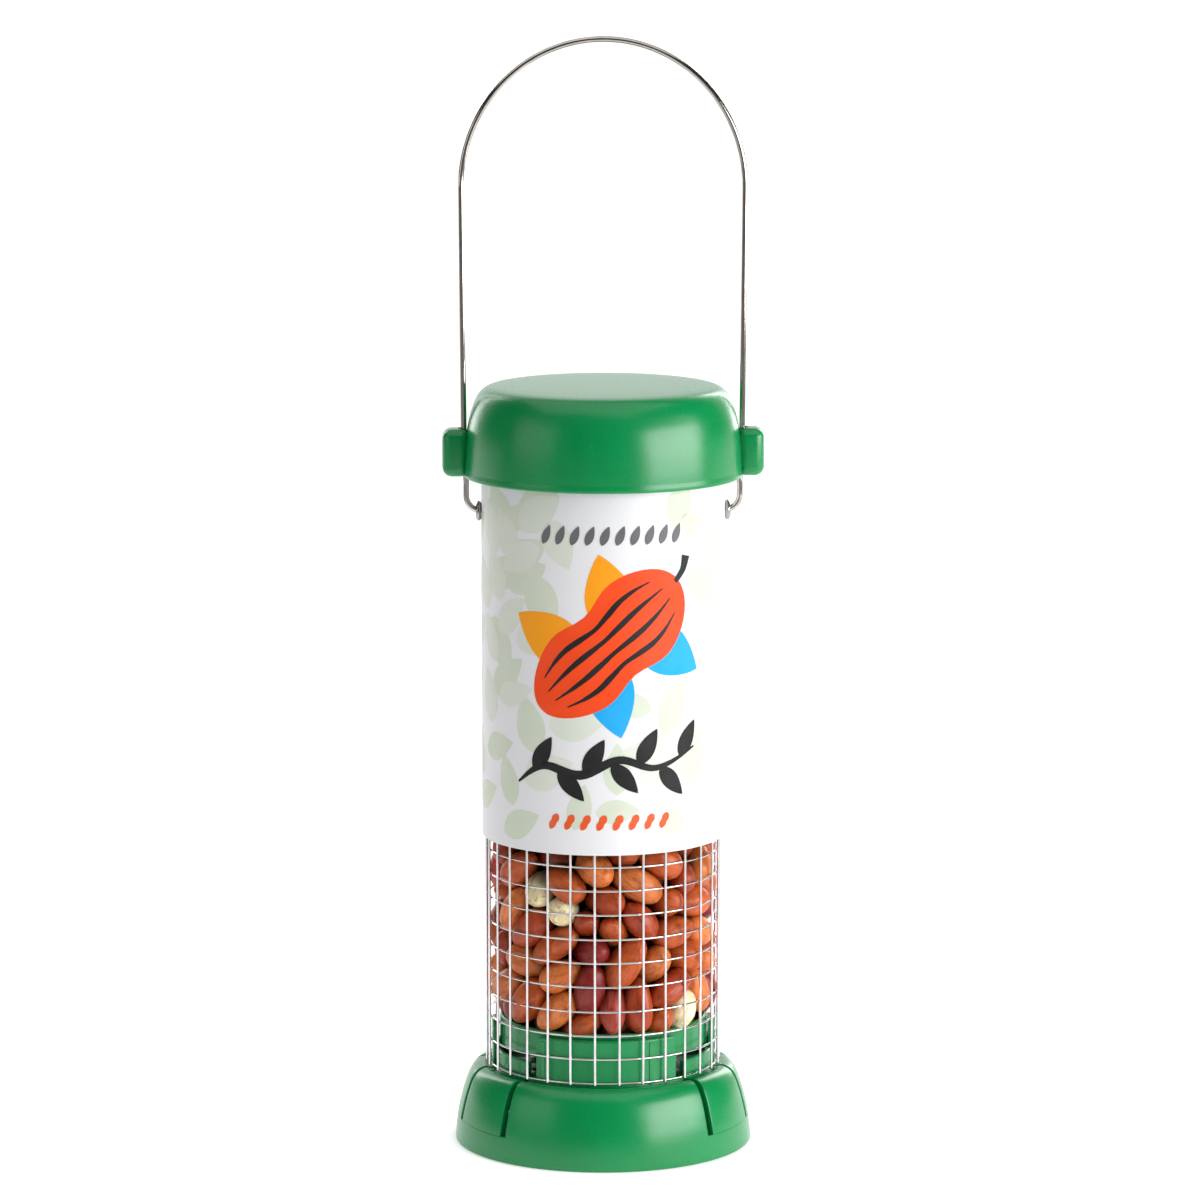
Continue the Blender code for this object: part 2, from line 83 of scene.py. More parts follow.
class Nodes:
    """A small wrapper that makes a material's node tree readable."""

    def __init__(self, name):
        self.material = bpy.data.materials.new(name)
        self.material.use_nodes = True
        self.tree = self.material.node_tree
        self.shader = self.tree.nodes["Principled BSDF"]

    def add(self, kind, **settings):
        node = self.tree.nodes.new(kind)
        for key, value in settings.items():
            setattr(node, key, value)
        return node

    def link(self, source, target):
        self.tree.links.new(source, target)

    def place(self, stretch=(1.0, 1.0, 1.0)):
        """Object coordinates in millimetres, stretched along chosen axes."""
        coords = self.add("ShaderNodeTexCoord")
        mapping = self.add("ShaderNodeMapping")
        mapping.inputs["Scale"].default_value = [1000.0 * s for s in stretch]
        self.link(coords.outputs["Object"], mapping.inputs["Vector"])
        return mapping.outputs["Vector"]

    def noise(self, vector, scale, detail=3.0, roughness=0.55, distortion=0.0):
        node = self.add("ShaderNodeTexNoise")
        node.inputs["Scale"].default_value = scale
        node.inputs["Detail"].default_value = detail
        node.inputs["Roughness"].default_value = roughness
        node.inputs["Distortion"].default_value = distortion
        self.link(vector, node.inputs["Vector"])
        return node.outputs["Fac"]

    def ramp(self, value, low, high, out_low, out_high):
        node = self.add("ShaderNodeMapRange")
        node.inputs["From Min"].default_value = low
        node.inputs["From Max"].default_value = high
        node.inputs["To Min"].default_value = out_low
        node.inputs["To Max"].default_value = out_high
        self.link(value, node.inputs["Value"])
        return node.outputs["Result"]

    def mix(self, factor, first, second, blend="MIX"):
        node = self.add("ShaderNodeMix", data_type="RGBA", blend_type=blend)
        for socket, value in ((node.inputs[6], first), (node.inputs[7], second)):
            if isinstance(value, tuple):
                socket.default_value = (*value, 1.0)
            else:
                self.link(value, socket)
        if isinstance(factor, float):
            node.inputs[0].default_value = factor
        else:
            self.link(factor, node.inputs[0])
        return node.outputs[2]

    def math(self, operation, first, second):
        node = self.add("ShaderNodeMath", operation=operation)
        self.link(first, node.inputs[0])
        self.link(second, node.inputs[1])
        return node.outputs["Value"]

    def feed(self, name, source):
        self.link(source, self.shader.inputs[name])

    def bump(self, height, strength, distance):
        node = self.add("ShaderNodeBump")
        node.inputs["Strength"].default_value = strength
        node.inputs["Distance"].default_value = distance
        self.link(height, node.inputs["Height"])
        self.feed("Normal", node.outputs["Normal"])

    def set(self, **values):
        for name, value in values.items():
            self.shader.inputs[name.replace("_", " ")].default_value = value


# ---- materials

def green_plastic():
    """Moulded polypropylene: a fine mould texture, faint flow streaks and dust-dulled gloss."""
    n = Nodes("green_plastic_moulded")
    n.set(Specular_IOR_Level=0.55)
    place = n.place()
    cloud = n.noise(place, 0.045, detail=4.0)
    fine = n.noise(place, 3.2, detail=2.0)
    flow = n.noise(n.place((0.12, 0.12, 0.02)), 1.0, detail=3.0)
    body = n.mix(n.ramp(cloud, 0.35, 0.65, 0.0, 1.0), (0.0, 0.240, 0.060), (0.0, 0.265, 0.070))
    streak = n.mix(n.ramp(flow, 0.45, 0.75, 0.0, 0.16), body, (0.01, 0.30, 0.10))
    n.feed("Base Color", streak)
    n.feed("Roughness", n.ramp(fine, 0.3, 0.7, 0.20, 0.28))
    n.bump(fine, 0.34, 0.00007)
    return n.material


def steel(name, color, low, high, draw):
    """Drawn wire: fine lines along its length, and roughness between low and high."""
    n = Nodes(name)
    n.set(Metallic=1.0)
    lines = n.noise(n.place(draw), 1.0, detail=4.0)
    blotch = n.noise(n.place(), 0.35, detail=2.0)
    darker = tuple(0.72 * c for c in color)
    body = n.mix(n.ramp(blotch, 0.35, 0.7, 0.0, 0.55), color, darker)
    n.feed("Base Color", body)
    n.feed("Roughness", n.ramp(lines, 0.3, 0.7, low, high))
    n.bump(lines, 0.12, 0.00003)
    return n.material


def label_film():
    """Satin printed film, with a faint paper tooth."""
    n = Nodes("label_film_satin")
    tooth = n.noise(n.place(), 6.0, detail=2.0)
    cloud = n.noise(n.place(), 0.06, detail=2.0)
    n.feed("Base Color", n.mix(cloud, (0.815, 0.815, 0.835), (0.840, 0.840, 0.860)))
    n.feed("Roughness", n.ramp(tooth, 0.3, 0.7, 0.38, 0.50))
    n.bump(tooth, 0.06, 0.00003)
    return n.material


def ink(name, color, spread=0.10):
    """Printing ink: nearly flat, with the slight unevenness of a printed solid."""
    n = Nodes(name)
    n.set(Specular_IOR_Level=0.22)
    grain = n.noise(n.place(), 4.0, detail=3.0)
    cloud = n.noise(n.place(), 0.12, detail=2.0)
    paler = tuple(min(1.0, c + spread * (1.0 - c)) for c in color)
    body = n.mix(n.ramp(cloud, 0.35, 0.65, 0.0, 1.0), color, paler)
    n.feed("Base Color", n.mix(n.ramp(grain, 0.45, 0.8, 0.0, 0.25), body, paler))
    n.feed("Roughness", n.ramp(grain, 0.3, 0.7, 0.37, 0.48))
    return n.material


def collar_plastic():
    """Black moulding inside the top of the tube."""
    n = Nodes("collar_plastic_moulded")
    fine = n.noise(n.place(), 2.5, detail=2.0)
    n.feed("Base Color", n.mix(fine, (0.018, 0.019, 0.018), (0.035, 0.037, 0.035)))
    n.feed("Roughness", n.ramp(fine, 0.3, 0.7, 0.40, 0.55))
    n.bump(fine, 0.12, 0.00005)
    return n.material


def peanut_skin():
    """Papery skin: each kernel's own tint with painted shade deeper in the heap, and veins and
    wrinkles along its length.
    """
    n = Nodes("peanut_skin_veined")
    # The kernel tint attribute holds each kernel's colour darkened by painted shade deeper in the
    # heap.
    tint = n.add("ShaderNodeAttribute", attribute_name="kernel_tint_and_painted_shade")
    local = n.add("ShaderNodeAttribute", attribute_name="kernel_place")
    along = n.add("ShaderNodeMapping")
    along.inputs["Scale"].default_value = (0.16, 0.95, 0.95)
    n.link(local.outputs["Vector"], along.inputs["Vector"])
    veins = n.noise(along.outputs["Vector"], 1.0, detail=5.0, roughness=0.6, distortion=0.6)
    wrinkle = n.noise(along.outputs["Vector"], 2.6, detail=4.0, roughness=0.65, distortion=1.0)
    blotch = n.noise(local.outputs["Vector"], 0.28, detail=3.0)
    dark = n.mix(1.0, tint.outputs["Color"], (0.42, 0.26, 0.20), blend="MULTIPLY")
    pale = n.mix(1.0, tint.outputs["Color"], (1.30, 1.65, 1.9), blend="MULTIPLY")
    body = n.mix(n.ramp(blotch, 0.35, 0.68, 0.0, 0.75), tint.outputs["Color"], pale)
    skin = n.mix(n.ramp(veins, 0.50, 0.72, 0.0, 0.75), body, dark)
    n.feed("Base Color", skin)
    n.feed("Roughness", n.ramp(wrinkle, 0.3, 0.7, 0.24, 0.42))
    n.bump(wrinkle, 0.35, 0.00022)
    n.set(Specular_IOR_Level=0.42)
    return n.material


def floor_paper():
    """White paper that glows softly near the feeder and behind it, and not under it."""
    n = Nodes("studio_floor")
    n.set(Roughness=0.9, Specular_IOR_Level=0.2)
    grain = n.noise(n.place((0.01, 0.01, 0.01)), 1.0, detail=2.0)
    n.feed("Base Color", n.mix(grain, (0.74, 0.74, 0.74), (0.78, 0.78, 0.78)))
    coords = n.add("ShaderNodeTexCoord")
    reach = n.add("ShaderNodeVectorMath", operation="LENGTH")
    n.link(coords.outputs["Object"], reach.inputs[0])
    split = n.add("ShaderNodeSeparateXYZ")
    n.link(coords.outputs["Object"], split.inputs[0])
    distance = reach.outputs["Value"]
    near = n.ramp(distance, 0.25, 0.50, 1.0, 0.0)
    behind = n.ramp(split.outputs["Y"], 0.10, 0.45, 0.0, 1.0)
    clear = n.ramp(distance, 0.034, 0.041, 0.0, 1.0)
    glow = n.ramp(distance, 0.3, 1.5, 0.62, 0.95)
    place = n.math("MULTIPLY", n.math("MAXIMUM", near, behind), clear)
    n.feed("Emission Strength", n.math("MULTIPLY", place, glow))
    n.set(Emission_Color=(1.0, 1.0, 1.0, 1.0))
    return n.material


# ---- mesh helpers

def add_piece(name, mesh, mat, body, slot_name, *replaced):
    """Link a finished mesh with its material, put it on the body it rides on, and hide the frame
    parts it replaces.
    """
    obj = bpy.data.objects.new(name, mesh)
    bpy.context.scene.collection.objects.link(obj)
    mesh.materials.append(mat)
    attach(obj, body)
    if replaced:
        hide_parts(*replaced)
    return obj


def guide(name, mesh):
    """A temporary object for the modelling, removed again by the caller."""
    obj = bpy.data.objects.new(name, mesh)
    bpy.context.scene.collection.objects.link(obj)
    return obj


def from_bmesh(name, bm):
    """A new mesh from a bmesh, which is freed."""
    mesh = bpy.data.meshes.new(name)
    bm.to_mesh(mesh)
    bm.free()
    return mesh


def scaled(points):
    """Points in millimetres turned into metres."""
    return [(x * MM, y * MM) for x, y in points]


def through(points, samples):
    """A smooth line through the points given, by Catmull-Rom interpolation."""
    padded = [points[0], *points, points[-1]]
    line = []
    for i in range(1, len(padded) - 2):
        p0, p1, p2, p3 = (Vector(p) for p in padded[i - 1:i + 3])
        for k in range(samples):
            t = k / samples
            line.append(tuple(0.5 * (
                2 * p1 + (p2 - p0) * t + (2 * p0 - 5 * p1 + 4 * p2 - p3) * t ** 2
                + (3 * p1 - p0 - 3 * p2 + p3) * t ** 3
            )))
    line.append(tuple(points[-1]))
    return line


def arc(centre, radius, start, end, count=6):
    """Points on an arc, with angles in degrees from the first axis."""
    angles = [math.radians(start + (end - start) * i / count) for i in range(count + 1)]
    return [(centre[0] + radius * math.cos(a), centre[1] + radius * math.sin(a)) for a in angles]


def swept(name, outline, start=0.0, end=math.tau, steps=SMOOTH_STEPS):
    """A (radius, height) outline swept round Z. Azimuth 0 is -Y and grows towards +X.

    The outline is closed, unless it runs from the axis to the axis.
    """
    full = abs(end - start - math.tau) < 1e-6
    count = steps if full else steps + 1
    closed = outline[0][0] > 1e-6
    bm = bmesh.new()
    on_axis = {k: bm.verts.new((0, 0, z)) for k, (r, z) in enumerate(outline) if r < 1e-6}
    rows = []
    for i in range(count):
        a = start + (end - start) * i / steps
        rows.append([
            on_axis.get(k) or bm.verts.new((r * math.sin(a), -r * math.cos(a), z))
            for k, (r, z) in enumerate(outline)
        ])
    size = len(outline)
    for i in range(steps):
        here, there = rows[i], rows[(i + 1) % count]
        for k in range(size if closed else size - 1):
            following = (k + 1) % size
            corners = (here[k], here[following], there[following], there[k])
            bm.faces.new(list(dict.fromkeys(corners)))
    if not full:
        bm.faces.new(rows[0])
        bm.faces.new(rows[-1])
    bmesh.ops.recalc_face_normals(bm, faces=bm.faces)
    return from_bmesh(name, bm)


def prism(near, far):
    """A bmesh between two outlines with the same number of corners."""
    bm = bmesh.new()
    near = [bm.verts.new(place) for place in near]
    far = [bm.verts.new(place) for place in far]
    bm.faces.new(near)
    bm.faces.new(far[::-1])
    for k in range(len(near)):
        following = (k + 1) % len(near)
        bm.faces.new((near[k], near[following], far[following], far[k]))
    return bm


def radial_prism(name, outline, inner, outer):
    """An (azimuth in degrees, height) outline given thickness from one radius to another."""
    turned = [(math.sin(math.radians(a)), -math.cos(math.radians(a)), z) for a, z in outline]
    near, far = ([(r * x, r * y, z) for x, y, z in turned] for r in (inner, outer))
    bm = prism(near, far)
    bmesh.ops.triangulate(bm, faces=bm.faces)
    bmesh.ops.recalc_face_normals(bm, faces=bm.faces)
    return from_bmesh(name, bm)


def flat_prism(name, outline, half_width):
    """An (x, height) outline given thickness along Y."""
    near, far = ([(x, y, z) for x, z in outline] for y in (-half_width, half_width))
    bm = prism(near, far)
    bmesh.ops.recalc_face_normals(bm, faces=bm.faces)
    return from_bmesh(name, bm)


def rounded_box(name, low, high, radius, segments=4):
    """A box with all its edges rounded."""
    bm = bmesh.new()
    size = Vector(high) - Vector(low)
    middle = (Vector(high) + Vector(low)) / 2
    matrix = Matrix.Translation(middle) @ Matrix.Diagonal((*size, 1.0))
    bmesh.ops.create_cube(bm, size=1.0, matrix=matrix)
    bmesh.ops.bevel(
        bm, geom=list(bm.edges), offset=radius, segments=segments, profile=0.5, affect="EDGES",
    )
    return from_bmesh(name, bm)


def upright_rod(name, radius, length, place, sides=24):
    """A solid cylinder along Z with its middle at a place."""
    bm = bmesh.new()
    bmesh.ops.create_cone(
        bm, cap_ends=True, segments=sides, radius1=radius, radius2=radius, depth=length,
        matrix=Matrix.Translation(place),
    )
    return from_bmesh(name, bm)


def carve(mesh, tools, edge=0.0):
    """Join or cut a mesh with (operation, mesh) tools in turn, and round the edges left sharp."""
    obj = guide("carving", mesh)
    guides = []
    for operation, tool_mesh in tools:
        tool = guide("tool", tool_mesh)
        guides.append(tool)
        modifier = obj.modifiers.new("cut", "BOOLEAN")
        modifier.operation = operation
        modifier.solver = "EXACT"
        modifier.object = tool
    if edge:
        weld = obj.modifiers.new("weld", "WELD")
        weld.merge_threshold = 0.00002
        bevel = obj.modifiers.new("edges", "BEVEL")
        bevel.width = edge
        bevel.segments = 3
        bevel.limit_method = "ANGLE"
        bevel.angle_limit = math.radians(38)
        bevel.use_clamp_overlap = True
    graph = bpy.context.evaluated_depsgraph_get()
    result = bpy.data.meshes.new_from_object(obj.evaluated_get(graph))
    for used in (obj, *guides):
        bpy.data.objects.remove(used)
    return result


def smooth(mesh, degrees=32):
    """Smooth shading, with edges over an angle kept sharp."""
    mesh.shade_smooth()
    mesh.set_sharp_from_angle(angle=math.radians(degrees))
    return mesh


# ---- camera, light, floor

def make_camera():
    """Long lens, a little above the feeder and a little left of its front."""
    azimuth = math.radians(-2.0)
    elevation = math.radians(9.05)
    distance = 1.470
    target = Vector((-0.8 * MM, 0.0, 143.6 * MM))
    away = Vector((
        math.sin(azimuth) * math.cos(elevation),
        -math.cos(azimuth) * math.cos(elevation),
        math.sin(elevation),
    ))
    data = bpy.data.cameras.new("camera")
    data.lens = 169.0
    data.sensor_width = 36.0
    data.clip_start = 0.05
    data.clip_end = 100.0
    camera = bpy.data.objects.new("camera", data)
    camera.location = target + away * distance
    camera.rotation_euler = (-away).to_track_quat("-Z", "Y").to_euler()
    bpy.context.scene.collection.objects.link(camera)
    bpy.context.scene.camera = camera


def softbox(name, azimuth, height, distance, size, power):
    """A rectangular area light round the feeder, facing its middle."""
    a = math.radians(azimuth)
    place = Vector((distance * math.sin(a), -distance * math.cos(a), height))
    data = bpy.data.lights.new(name, "AREA")
    data.shape = "RECTANGLE"
    data.size, data.size_y = size
    data.energy = power
    light = bpy.data.objects.new(name, data)
    light.location = place
    middle = Vector((0, 0, 130 * MM))
    light.rotation_euler = (middle - place).to_track_quat("-Z", "Y").to_euler()
    bpy.context.scene.collection.objects.link(light)


def make_studio():
    """A world bright behind and dim in front, five softboxes and a paper floor."""
    world = bpy.data.worlds.new("studio")
    world.use_nodes = True
    bpy.context.scene.world = world
    tree = world.node_tree
    coords = tree.nodes.new("ShaderNodeTexCoord")
    facing = tree.nodes.new("ShaderNodeVectorMath")
    facing.operation = "DOT_PRODUCT"
    facing.inputs[1].default_value = (0.0, 0.98, 0.17)
    spread = tree.nodes.new("ShaderNodeMapRange")
    spread.inputs["From Min"].default_value = 0.50
    spread.inputs["From Max"].default_value = 0.95
    spread.inputs["To Min"].default_value = 0.05
    spread.inputs["To Max"].default_value = 1.15
    spread.interpolation_type = "SMOOTHSTEP"
    tree.links.new(coords.outputs["Generated"], facing.inputs[0])
    tree.links.new(facing.outputs["Value"], spread.inputs["Value"])
    tree.links.new(spread.outputs["Result"], tree.nodes["Background"].inputs["Strength"])
    tree.nodes["Background"].inputs["Color"].default_value = (1.0, 1.0, 1.0, 1.0)

    softbox("softbox_right", 60, 0.32, 1.0, (1.0, 0.44), 10.6)
    softbox("softbox_overhead", -20, 1.50, 0.30, (2.2, 1.8), 12.0)
    softbox("fill_left", -62, 0.42, 1.1, (0.75, 0.5), 1.2)
    softbox("kicker_left", -146, 0.42, 0.80, (0.20, 0.60), 1.3)
    softbox("kicker_right", 152, 0.36, 0.80, (0.20, 0.60), 1.8)

    bm = bmesh.new()
    bmesh.ops.create_grid(bm, x_segments=8, y_segments=8, size=12.0)
    floor = bpy.data.objects.new("studio_floor", from_bmesh("studio_floor", bm))
    floor.data.materials.append(floor_paper())
    floor.location = (0, 0, -0.05 * MM)
    bpy.context.scene.collection.objects.link(floor)


# ---- wire mesh

def add_tube(bm, path, radius, sides, closed=False):
    """A round wire along a path of points, added to a bmesh."""
    count = len(path)
    rings = []
    for i, place in enumerate(path):
        before = path[i - 1] if (closed or i > 0) else path[i]
        after = path[(i + 1) % count] if (closed or i < count - 1) else path[i]
        along = (Vector(after) - Vector(before)).normalized()
        out = Vector((place[0], place[1], 0.0))
        out = (out - along * out.dot(along)).normalized()
        side = along.cross(out)
        rings.append([
            bm.verts.new(Vector(place) + radius * (math.cos(t) * out + math.sin(t) * side))
            for t in (math.tau * k / sides for k in range(sides))
        ])
    for i in range(count if closed else count - 1):
        here, there = rings[i], rings[(i + 1) % count]
        for k in range(sides):
            following = (k + 1) % sides
            bm.faces.new((here[k], here[following], there[following], there[k]))
    if not closed:
        bm.faces.new(rings[0][::-1])
        bm.faces.new(rings[-1])


def make_wire_mesh(mat):
    """Thirty uprights welded outside twenty-seven rings, each wire slightly off true."""
    draw = random.Random(41)
    bm = bmesh.new()
    outer = WIRE_CIRCLE + WELD_OFFSET
    inner = WIRE_CIRCLE - WELD_OFFSET
    top = FIRST_RING + CELL * (RINGS - 1)
    for i in range(UPRIGHTS):
        a = math.tau * (i + 0.5) / UPRIGHTS + draw.gauss(0, 0.0016)
        sway = [draw.gauss(0, 0.0018) for _ in range(7)]
        levels = np.linspace(FIRST_RING - 0.28 * MM, top + 0.28 * MM, 7)
        path = [
            (outer * math.sin(a + s), -outer * math.cos(a + s), z) for z, s in zip(levels, sway)
        ]
        add_tube(bm, through(path, 3), UPRIGHT_RADIUS, 10)
    around = 120
    for k in range(RINGS):
        z = FIRST_RING + CELL * k + draw.gauss(0, 0.05 * MM) * (k > 0)
        lean, turn = draw.gauss(0, 0.10 * MM), draw.uniform(0, math.tau)
        path = []
        for i in range(around):
            a = math.tau * i / around
            weld = 0.5 + 0.5 * math.cos(UPRIGHTS * a - math.pi)   # 1 where an upright crosses
            r = inner + 0.05 * MM * weld
            path.append((r * math.sin(a), -r * math.cos(a), z + lean * math.sin(a + turn)))
        add_tube(bm, path, RING_RADIUS, 8, closed=True)
    bmesh.ops.recalc_face_normals(bm, faces=bm.faces)
    mesh = smooth(from_bmesh("welded_wire_mesh", bm), 60)
    add_piece("welded_wire_mesh", mesh, mat, "tube", "mesh_steel", "mesh_tube")


# ---- handle and eyelets

def make_handle(mat):
    """One wire: in through an eyelet, round the bend, up, over the arch and down again."""
    spring = 36.7 * MM
    lid_half = 36.2 * MM
    rise = 38.2 * MM
    arch_z = HANDLE_HIGH.z - HANDLE_RADIUS - rise
    foot_x, bend = 35.6 * MM, 4.0 * MM
    step_low, step_high = 175.0 * MM, 184.0 * MM
    end_x = 26.0 * MM
    half = [(end_x + 0.9 * MM * i, PIVOT_Z) for i in range(6)]
    half += arc((foot_x - bend, PIVOT_Z + bend), bend, -90, 0, 20)
    step = [
        (foot_x, step_low - 2 * MM), (foot_x, step_low), (foot_x + 0.2 * MM, step_low + 2.5 * MM),
        (lid_half - 0.2 * MM, step_high - 2.5 * MM), (lid_half, step_high),
        (lid_half, step_high + 3 * MM),
    ]
    half += through(step, 4)
    legs = 12
    low, high = step_high + 3 * MM, arch_z
    for i in range(1, legs):
        share = i / legs
        half.append((lid_half + (spring - lid_half) * share, low + (high - low) * share))
    circle = arc((0, arch_z), spring, 0, 90, 48)
    half += [(x, arch_z + (z - arch_z) * rise / spring) for x, z in circle]
    line = [(x, 0.0, z) for x, z in half]
    line += [(-x, 0.0, z) for x, z in reversed(half[:-1])]
    curve = bpy.data.curves.new("wire_handle", "CURVE")
    curve.dimensions = "3D"
    curve.bevel_depth = HANDLE_RADIUS
    curve.bevel_resolution = 6
    curve.use_fill_caps = True
    spline = curve.splines.new("POLY")
    spline.points.add(len(line) - 1)
    for point, place in zip(spline.points, line):
        point.co = (*place, 1.0)
    spline.use_smooth = True
    source = guide("wire_source", curve)
    graph = bpy.context.evaluated_depsgraph_get()
    mesh = bpy.data.meshes.new_from_object(source.evaluated_get(graph))
    bpy.data.objects.remove(source)
    mesh.materials.clear()
    smooth(mesh, 45)
    add_piece("wire_handle", mesh, mat, "handle", "handle_steel", "bail_handle")


def make_eyelet(side, mat):
    """A hollow rivet: rolled head, a shoulder behind it and a barrel through the wall."""
    name = "right" if side > 0 else "left"
    head, tail = EYELET_HIGH.x, EYELET_LOW.x
    flange = (EYELET_HIGH.z - EYELET_LOW.z) / 2
    bore = 1.45 * MM
    barrel = 2.0 * MM
    seat = LABEL_RADIUS + 0.06 * MM
    roll = (head - seat) * 0.5
    outline = [
        (barrel, seat),
        (flange - 0.5 * MM, seat),
        *arc((flange - roll * 0.9, seat + roll), roll * 0.9, -60, 100, 10),
        (bore + 0.55 * MM, head),
        *arc((bore + 0.35 * MM, head - 0.35 * MM), 0.35 * MM, 90, 180, 5),
        (bore, tail),
        (flange, tail),
        (flange, tail + 0.4 * MM),
        (barrel, tail + 0.4 * MM),
    ]
    mesh = swept(f"rivet_{name}", outline, steps=64)
    turn = Matrix.Rotation(side * math.radians(90), 4, "Y")
    mesh.transform(Matrix.Translation((0, 0, PIVOT_Z)) @ turn)
    add_piece(f"rivet_{name}", smooth(mesh), mat, "tube", "eyelet_steel", f"eyelet_{name}")


# ---- lid

def lid_outline():
    """Down the outside from the middle of the roof, round the rim, and up the inside."""
    top, bottom = LID_HIGH.z, LID_LOW.z
    roof = ((0, 0), (8, 0.02), (16, 0.08), (22, 0.18))         # radius, and drop from the top
    shoulder = (
        (26.5, 0.32), (28.6, 0.48), (30.2, 0.85), (31.5, 1.65), (32.45, 2.7), (33.25, 4.1),
        (34.0, 6.0), (34.7, 8.3), (35.3, 11.3), (35.75, 15.0),
    )
    roof, shoulder = ([(r * MM, top - drop * MM) for r, drop in part] for part in (roof, shoulder))
    shoulder += [(36.05 * MM, bottom + 4.5 * MM), (36.15 * MM, bottom + 1.75 * MM)]
    lip = [
        (36.26 * MM, bottom + 1.2 * MM),
        *arc((35.8 * MM, bottom + 0.5 * MM), 0.5 * MM, 0, -90, 6),
    ]
    walls = ((34.9, 0), (34.5, 4.5), (34.2, 9.0), (33.7, 12.7), (32.6, 16.9), (31.0, 20.3))
    inside = [(r * MM, bottom + rise * MM) for r, rise in walls]
    inside += [(28.6 * MM, top - 2.1 * MM), (16 * MM, top - 1.6 * MM), (0.0, top - 1.5 * MM)]
    return roof + through(shoulder, 5) + lip + inside


def make_lid(mat):
    """The cap, with its two wire ears, and the ribs inside that seat it on the tube."""
    reach = LID_HIGH.x
    half_ear = 4.5 * MM
    ear_top = LID_LOW.z + 12.5 * MM
    seat = COLLAR_TOP + 0.3 * MM
    blocks = (                     # inner and outer distance, half width, bottom, top, rounding
        (34.7 * MM, reach, half_ear, LID_LOW.z + 0.03 * MM, ear_top, 2.5 * MM),
        (29.4 * MM, 33.9 * MM, 1.5 * MM, seat, seat + 5.6 * MM, 0.2 * MM),
        (29.4 * MM, 31.2 * MM, 1.5 * MM, seat + 5.2 * MM, LID_HIGH.z - 2.3 * MM, 0.2 * MM),
    )
    slot = scaled([
        (37.7, 170), (37.7, 195), (35.5, 195), (35.5, 184.3), (34.2, 175), (34.2, 170),
    ])
    tools = []
    for side in (-1, 1):
        for inner, outer, half, low, high, rounding in blocks:
            xs = sorted((side * inner, side * outer))
            block = rounded_box("block", (xs[0], -half, low), (xs[1], half, high), rounding, 6)
            tools.append(("UNION", block))
        way = flat_prism("slot", [(side * x, z) for x, z in slot], 1.15 * MM)
        tools.append(("DIFFERENCE", way))
    mesh = carve(swept("moulded_lid", lid_outline()), tools)
    add_piece("moulded_lid", smooth(mesh, 30), mat, "lid", "green_plastic", "lid")


# ---- base

TAB_START, TAB_END = math.radians(45.0), math.radians(78.0)
SLIT = math.radians(1.5)
LEDGE = 20.55 * MM
FLOOR_BOTTOM = 19.3 * MM
COLLAR_FACE = 29.35 * MM


def tab_ranges():
    """Name and azimuth range, slit centre to slit centre, of each sprung tongue."""
    return {
        "front_right": (TAB_START, TAB_END),
        "back_right": (math.pi - TAB_END, math.pi - TAB_START),
        "back_left": (math.pi + TAB_START, math.pi + TAB_END),
        "front_left": (math.tau - TAB_END, math.tau - TAB_START),
    }


def shoulder_line(bottom):
    """The skirt's outside from the groove at the mesh down to a given height."""
    points = scaled([
        (31.1, 20.45), (31.9, 20.5), (33.0, 20.15), (34.2, 19.3), (35.25, 17.7), (36.05, 15.8),
        (36.8, 13.5), (37.4, 11.2), (37.95, 8.8), (38.37, 6.4), (38.7, 3.8), (38.93, 1.3),
    ])
    line = through(points, 4)
    kept = [p for p in line if p[1] > bottom + 0.2 * MM or p[0] < 33 * MM]
    after = line[min(len(kept), len(line) - 1)]
    last = kept[-1]
    share = (last[1] - bottom) / max(last[1] - after[1], 1e-9)
    return kept + [(last[0] + (after[0] - last[0]) * share, bottom)]


def inner_wall(bottom):
    """The skirt's inside, from a given height up to the floor's underside."""
    points = scaled([
        (36.9, 0.0), (36.85, 3.0), (36.6, 6.4), (35.9, 10.0), (34.9, 13.3), (33.8, 16.4),
        (32.6, 18.4),
    ])
    points.append((31.5 * MM, FLOOR_BOTTOM))
    line = [p for p in through(points, 3) if p[1] > bottom + 0.3 * MM]
    return [(36.6 * MM if bottom > 1 * MM else 36.9 * MM, bottom)] + line


def panel_gap(near, far, turn):
    """The space beside an upright panel, whose top corner is rounded. Angles are in degrees."""
    top = BASE_TOP
    low = LEDGE + 0.25 * MM
    radius = 1.5 * MM
    spread = math.degrees(radius / COLLAR_FACE)
    corner = [
        (near - spread + spread * math.cos(t), top - radius + radius * math.sin(t))
        for t in (math.radians(15 * k) for k in range(7))
    ]
    outline = [(far, low), (near, low), *corner, (near - spread, top + 3 * MM), (far, top + 3 * MM)]
    return [(turn * angle, z) for angle, z in outline]


